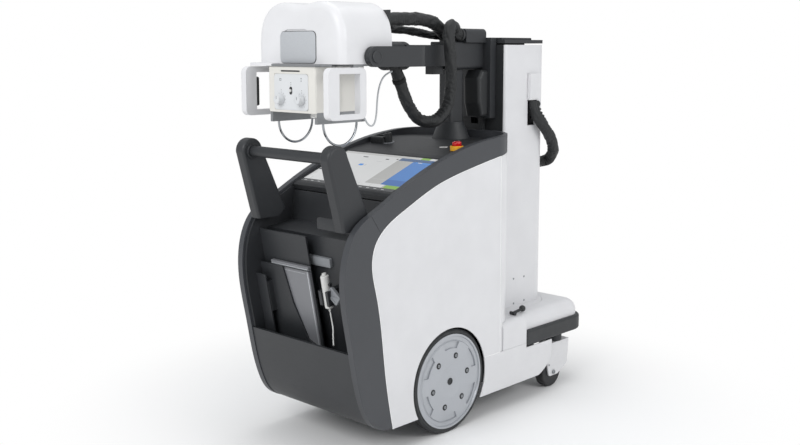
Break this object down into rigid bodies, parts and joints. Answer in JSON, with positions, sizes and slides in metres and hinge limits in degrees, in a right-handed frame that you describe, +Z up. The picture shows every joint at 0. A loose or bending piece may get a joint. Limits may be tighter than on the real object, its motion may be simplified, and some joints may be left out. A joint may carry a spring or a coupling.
{
  "type": "mobile_xray_machine",
  "caption": "Mobile digital x-ray machine with a folding telescopic arm, tilting tube head, drive wheels, castors and a detector bin.",
  "frame": {"origin": "On the floor, under the middle of the machine", "axes": "+X is the machine's right-hand side, +Y points to the column end, +Z is up"},
  "size_m": [0.555, 1.4234, 1.537],
  "materials": {
    "charcoal_shell": "satin moulded plastic",
    "grey_band": "satin painted plastic",
    "white_cover": "satin white plastic",
    "warm_white": "satin white plastic",
    "control_face": "matt",
    "chassis_steel": "black powder coat",
    "module_case": "black anodised",
    "grey_metal": "satin",
    "bright_aluminium": "brushed",
    "wheel_rim": "satin silver",
    "tyre_rubber": "matt",
    "black_rubber": "matt",
    "black_plastic": "fine grain",
    "chrome_wire": "polished",
    "screen": "lit glass",
    "detector_shell": "satin",
    "switch_grey": "satin",
    "stop_red": "gloss",
    "stop_yellow": "satin",
    "black_fabric": "woven sleeve",
    "grey_cable": "satin"
  },
  "bodies": {
    "chassis": {"base_frame": "chassis_steel", "power_modules": "module_case", "drive_motors": "bright_aluminium", "front_cover": "charcoal_shell", "side_bands": "grey_band", "side_panels": "white_cover", "side_skirts": "white_cover", "base_cover": "white_cover", "bumper": "black_rubber", "console_top": "charcoal_shell", "display_panel": "screen", "bin_tray": "charcoal_shell", "bin_guides": "charcoal_shell", "handle_paddles": "charcoal_shell", "handle_bar": "charcoal_shell", "rest_post": "charcoal_shell", "reader_holder": "black_plastic", "estop_base": "stop_yellow", "hand_switch_cord": "grey_cable"},
    "stop_button": {"estop_button": "stop_red"},
    "detector": {"detector": "detector_shell"},
    "hand_switch": {"hand_switch": "switch_grey"},
    "hand_switch_button": {"hand_switch_button": "warm_white"},
    "brake_pedal": {"brake_pedal": "black_plastic"},
    "drive_wheel_right": {"drive_rim_right": "wheel_rim", "drive_tyre_right": "tyre_rubber"},
    "drive_wheel_left": {"drive_rim_left": "wheel_rim", "drive_tyre_left": "tyre_rubber"},
    "castor_swivel_right": {"castor_fork_right": "white_cover"},
    "castor_swivel_left": {"castor_fork_left": "white_cover"},
    "castor_wheel_right": {"castor_wheel_right": "black_rubber"},
    "castor_wheel_left": {"castor_wheel_left": "black_rubber"},
    "column": {"column_cover": "white_cover", "column_front": "black_plastic", "column_frame": "chassis_steel", "cable_hood": "white_cover", "column_sleeve": "black_fabric"},
    "mast": {"mast": "charcoal_shell", "carriage": "charcoal_shell", "cable_guide": "black_plastic", "arm_outer": "charcoal_shell", "head_cable_upper": "black_fabric", "head_cable_lower": "black_fabric", "head_cable_far": "black_fabric"},
    "arm_middle": {"arm_middle": "charcoal_shell"},
    "arm_inner": {"arm_inner": "charcoal_shell"},
    "fork": {"fork": "charcoal_shell"},
    "head": {"head_housing": "white_cover", "head_plate": "grey_metal", "head_rear_cover": "black_plastic", "xray_tube": "bright_aluminium", "head_grips": "white_cover", "head_lead": "grey_cable"},
    "collimator": {"collimator_housing": "warm_white", "collimator_panel": "control_face", "accessory_rails": "grey_metal", "wire_loops": "chrome_wire"},
    "knob_right": {"collimator_knob_right": "control_face"},
    "knob_left": {"collimator_knob_left": "control_face"},
    "lamp_button": {"lamp_button": "switch_grey"}
  },
  "joints": [
    {"name": "drive_right_roll", "type": "hinge", "parent": "chassis", "child": "drive_wheel_right", "pos_m": [0.2535, -0.153, 0.19], "axis": [1, 0, 0], "continuous": true},
    {"name": "drive_left_roll", "type": "hinge", "parent": "chassis", "child": "drive_wheel_left", "pos_m": [-0.2535, -0.153, 0.19], "axis": [1, 0, 0], "continuous": true},
    {"name": "castor_right_swivel", "type": "hinge", "parent": "chassis", "child": "castor_swivel_right", "pos_m": [0.22, 0.565, 0.19], "axis": [0, 0, 1], "continuous": true},
    {"name": "castor_right_roll", "type": "hinge", "parent": "castor_swivel_right", "child": "castor_wheel_right", "pos_m": [0.22, 0.525, 0.0625], "axis": [1, 0, 0], "continuous": true},
    {"name": "castor_left_swivel", "type": "hinge", "parent": "chassis", "child": "castor_swivel_left", "pos_m": [-0.22, 0.565, 0.19], "axis": [0, 0, 1], "continuous": true},
    {"name": "castor_left_roll", "type": "hinge", "parent": "castor_swivel_left", "child": "castor_wheel_left", "pos_m": [-0.22, 0.525, 0.0625], "axis": [1, 0, 0], "continuous": true},
    {"name": "column_swivel", "type": "hinge", "parent": "chassis", "child": "column", "pos_m": [0, 0.46, 0.338], "axis": [0, 0, 1], "range_deg": [-85, 155]},
    {"name": "mast_lift", "type": "slide", "parent": "column", "child": "mast", "axis": [0, 0, 1], "range_m": [0, 0.55]},
    {"name": "arm_reach", "type": "slide", "parent": "mast", "child": "arm_middle", "axis": [0, -1, 0], "range_m": [0, 0.13], "deforming": ["head_cable_upper", "head_cable_lower", "head_cable_far"]},
    {"name": "arm_reach_inner", "type": "slide", "parent": "arm_middle", "child": "arm_inner", "axis": [0, -1, 0], "range_m": [0, 0.13], "deforming": ["head_cable_upper", "head_cable_lower", "head_cable_far"]},
    {"name": "head_roll", "type": "hinge", "parent": "arm_inner", "child": "fork", "pos_m": [0, -0.174, 1.356], "axis": [0, 1, 0], "range_deg": [-90, 90], "deforming": ["head_cable_upper", "head_cable_lower", "head_cable_far"]},
    {"name": "head_tilt", "type": "hinge", "parent": "fork", "child": "head", "pos_m": [0, -0.485, 1.356], "axis": [1, 0, 0], "range_deg": [-90, 30], "deforming": ["head_cable_upper", "head_cable_lower", "head_cable_far"]},
    {"name": "collimator_turn", "type": "hinge", "parent": "head", "child": "collimator", "pos_m": [0, -0.535, 1.327], "axis": [0, 0, 1], "range_deg": [-90, 90], "deforming": ["head_lead"]},
    {"name": "knob_right_turn", "type": "hinge", "parent": "collimator", "child": "knob_right", "pos_m": [0.054, -0.652, 1.214], "axis": [0, 1, 0], "range_deg": [-150, 150]},
    {"name": "knob_left_turn", "type": "hinge", "parent": "collimator", "child": "knob_left", "pos_m": [-0.05, -0.652, 1.214], "axis": [0, 1, 0], "range_deg": [-150, 150]},
    {"name": "lamp_button_press", "type": "slide", "parent": "collimator", "child": "lamp_button", "axis": [0, 1, 0], "range_m": [0, 0.003], "stiffness_N_per_m": 400, "springref_m": -0.001},
    {"name": "stop_press", "type": "slide", "parent": "chassis", "child": "stop_button", "axis": [0, 0.1499, -0.9887], "range_m": [0, 0.005], "stiffness_N_per_m": 1500, "springref_m": -0.001},
    {"name": "detector_lift", "type": "slide", "parent": "chassis", "child": "detector", "axis": [0, -0.1908, 0.9816], "range_m": [0, 0.28]},
    {"name": "hand_switch_lift", "type": "slide", "parent": "chassis", "child": "hand_switch", "axis": [0, -0.1908, 0.9816], "range_m": [0, 0.08], "deforming": ["hand_switch_cord"]},
    {"name": "hand_switch_press", "type": "slide", "parent": "hand_switch", "child": "hand_switch_button", "axis": [0, 0.1908, -0.9816], "range_m": [0, 0.0035], "stiffness_N_per_m": 300, "springref_m": -0.001},
    {"name": "brake_lever", "type": "hinge", "parent": "chassis", "child": "brake_pedal", "pos_m": [0.226, 0.278, 0.352], "axis": [1, 0, 0], "range_deg": [0, 25]}
  ],
  "couplings": [
    {"joint": "arm_reach_inner", "follows": "arm_reach", "ratio": 1}
  ]
}
